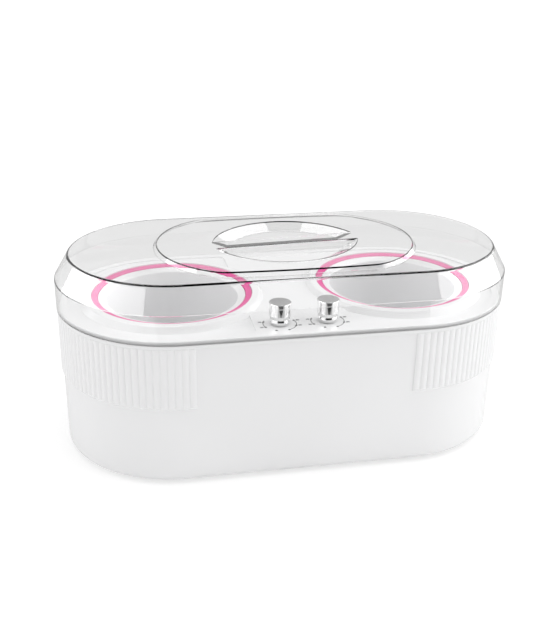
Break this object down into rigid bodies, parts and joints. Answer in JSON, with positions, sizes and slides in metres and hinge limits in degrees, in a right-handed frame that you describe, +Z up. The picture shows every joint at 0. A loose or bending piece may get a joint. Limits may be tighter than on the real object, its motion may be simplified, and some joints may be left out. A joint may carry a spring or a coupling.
{
  "type": "double wax warmer",
  "caption": "Oblong table-top warmer for depilatory wax: lift-out metal pots in pink rings, chrome temperature knobs and a clear lift-off lid with a recessed grip.",
  "frame": {"origin": "on the table under the middle of the base, at the bottom of the rubber feet", "axes": "+X along the length, towards the right-hand pot seen from the front; the knobs face -Y; +Z up"},
  "size_m": [0.37, 0.184, 0.1653],
  "materials": {
    "white_gloss": "gloss",
    "white_satin": "satin",
    "clear_plastic": "clear, polished",
    "pink": "satin",
    "pot_aluminium": "brushed",
    "aluminium": "mill",
    "chrome": "polished",
    "steel": "zinc plated",
    "heater_steel": "rolled",
    "fuse_metal": "satin",
    "brass": "plain",
    "copper": "drawn copper",
    "rubber": "matte",
    "felt": "felt",
    "black_plastic": "moulded",
    "wire": "silicone sleeve"
  },
  "bodies": {
    "housing": {"body_shell": "white_gloss", "base_plate": "white_satin", "top_deck": "white_gloss", "foot_front_left": "rubber", "foot_front_right": "rubber", "foot_rear_left": "rubber", "foot_rear_right": "rubber", "housing_screws": "steel", "pot_ring_left": "pink", "pot_ring_right": "pink", "heating_chamber_left": "aluminium", "heating_chamber_right": "aluminium", "chamber_screws": "steel", "band_heater_left": "heater_steel", "band_heater_right": "heater_steel", "clamp_screws": "steel", "insulation_sleeve_left": "felt", "insulation_sleeve_right": "felt", "thermal_fuse_left": "fuse_metal", "thermal_fuse_right": "fuse_metal", "fuse_clip_left": "steel", "fuse_clip_right": "steel", "thermostat_left": "black_plastic", "thermostat_right": "black_plastic", "thermostat_bracket": "steel", "bracket_screws": "steel", "bush_nuts": "brass", "capillary_left": "copper", "capillary_right": "copper", "cord_gland": "rubber", "terminal_block": "white_satin", "terminal_screws": "brass", "lead_wires": "wire"},
    "lid": {"clear_lid": "clear_plastic"},
    "pot_left": {"wax_pot_left": "pot_aluminium"},
    "pot_right": {"wax_pot_right": "pot_aluminium"},
    "knob_left": {"knob_left": "chrome", "control_shaft_left": "steel"},
    "knob_right": {"knob_right": "chrome", "control_shaft_right": "steel"}
  },
  "joints": [
    {"name": "lid_lift", "type": "slide", "parent": "housing", "child": "lid", "axis": [0, 0, 1], "range_m": [0, 0.2]},
    {"name": "pot_left_lift", "type": "slide", "parent": "housing", "child": "pot_left", "axis": [0, 0, 1], "range_m": [0, 0.1]},
    {"name": "pot_right_lift", "type": "slide", "parent": "housing", "child": "pot_right", "axis": [0, 0, 1], "range_m": [0, 0.1]},
    {"name": "knob_left_turn", "type": "hinge", "parent": "housing", "child": "knob_left", "pos_m": [-0.0187, -0.0695, 0.12315], "axis": [0, 0, 1], "range_deg": [-112.5, 112.5]},
    {"name": "knob_right_turn", "type": "hinge", "parent": "housing", "child": "knob_right", "pos_m": [0.0187, -0.0695, 0.12315], "axis": [0, 0, 1], "range_deg": [-112.5, 112.5]}
  ],
  "couplings": [
    {"joint": "pot_left_lift", "follows": "lid_lift", "ratio": 0.5},
    {"joint": "pot_right_lift", "follows": "lid_lift", "ratio": 0.5}
  ]
}
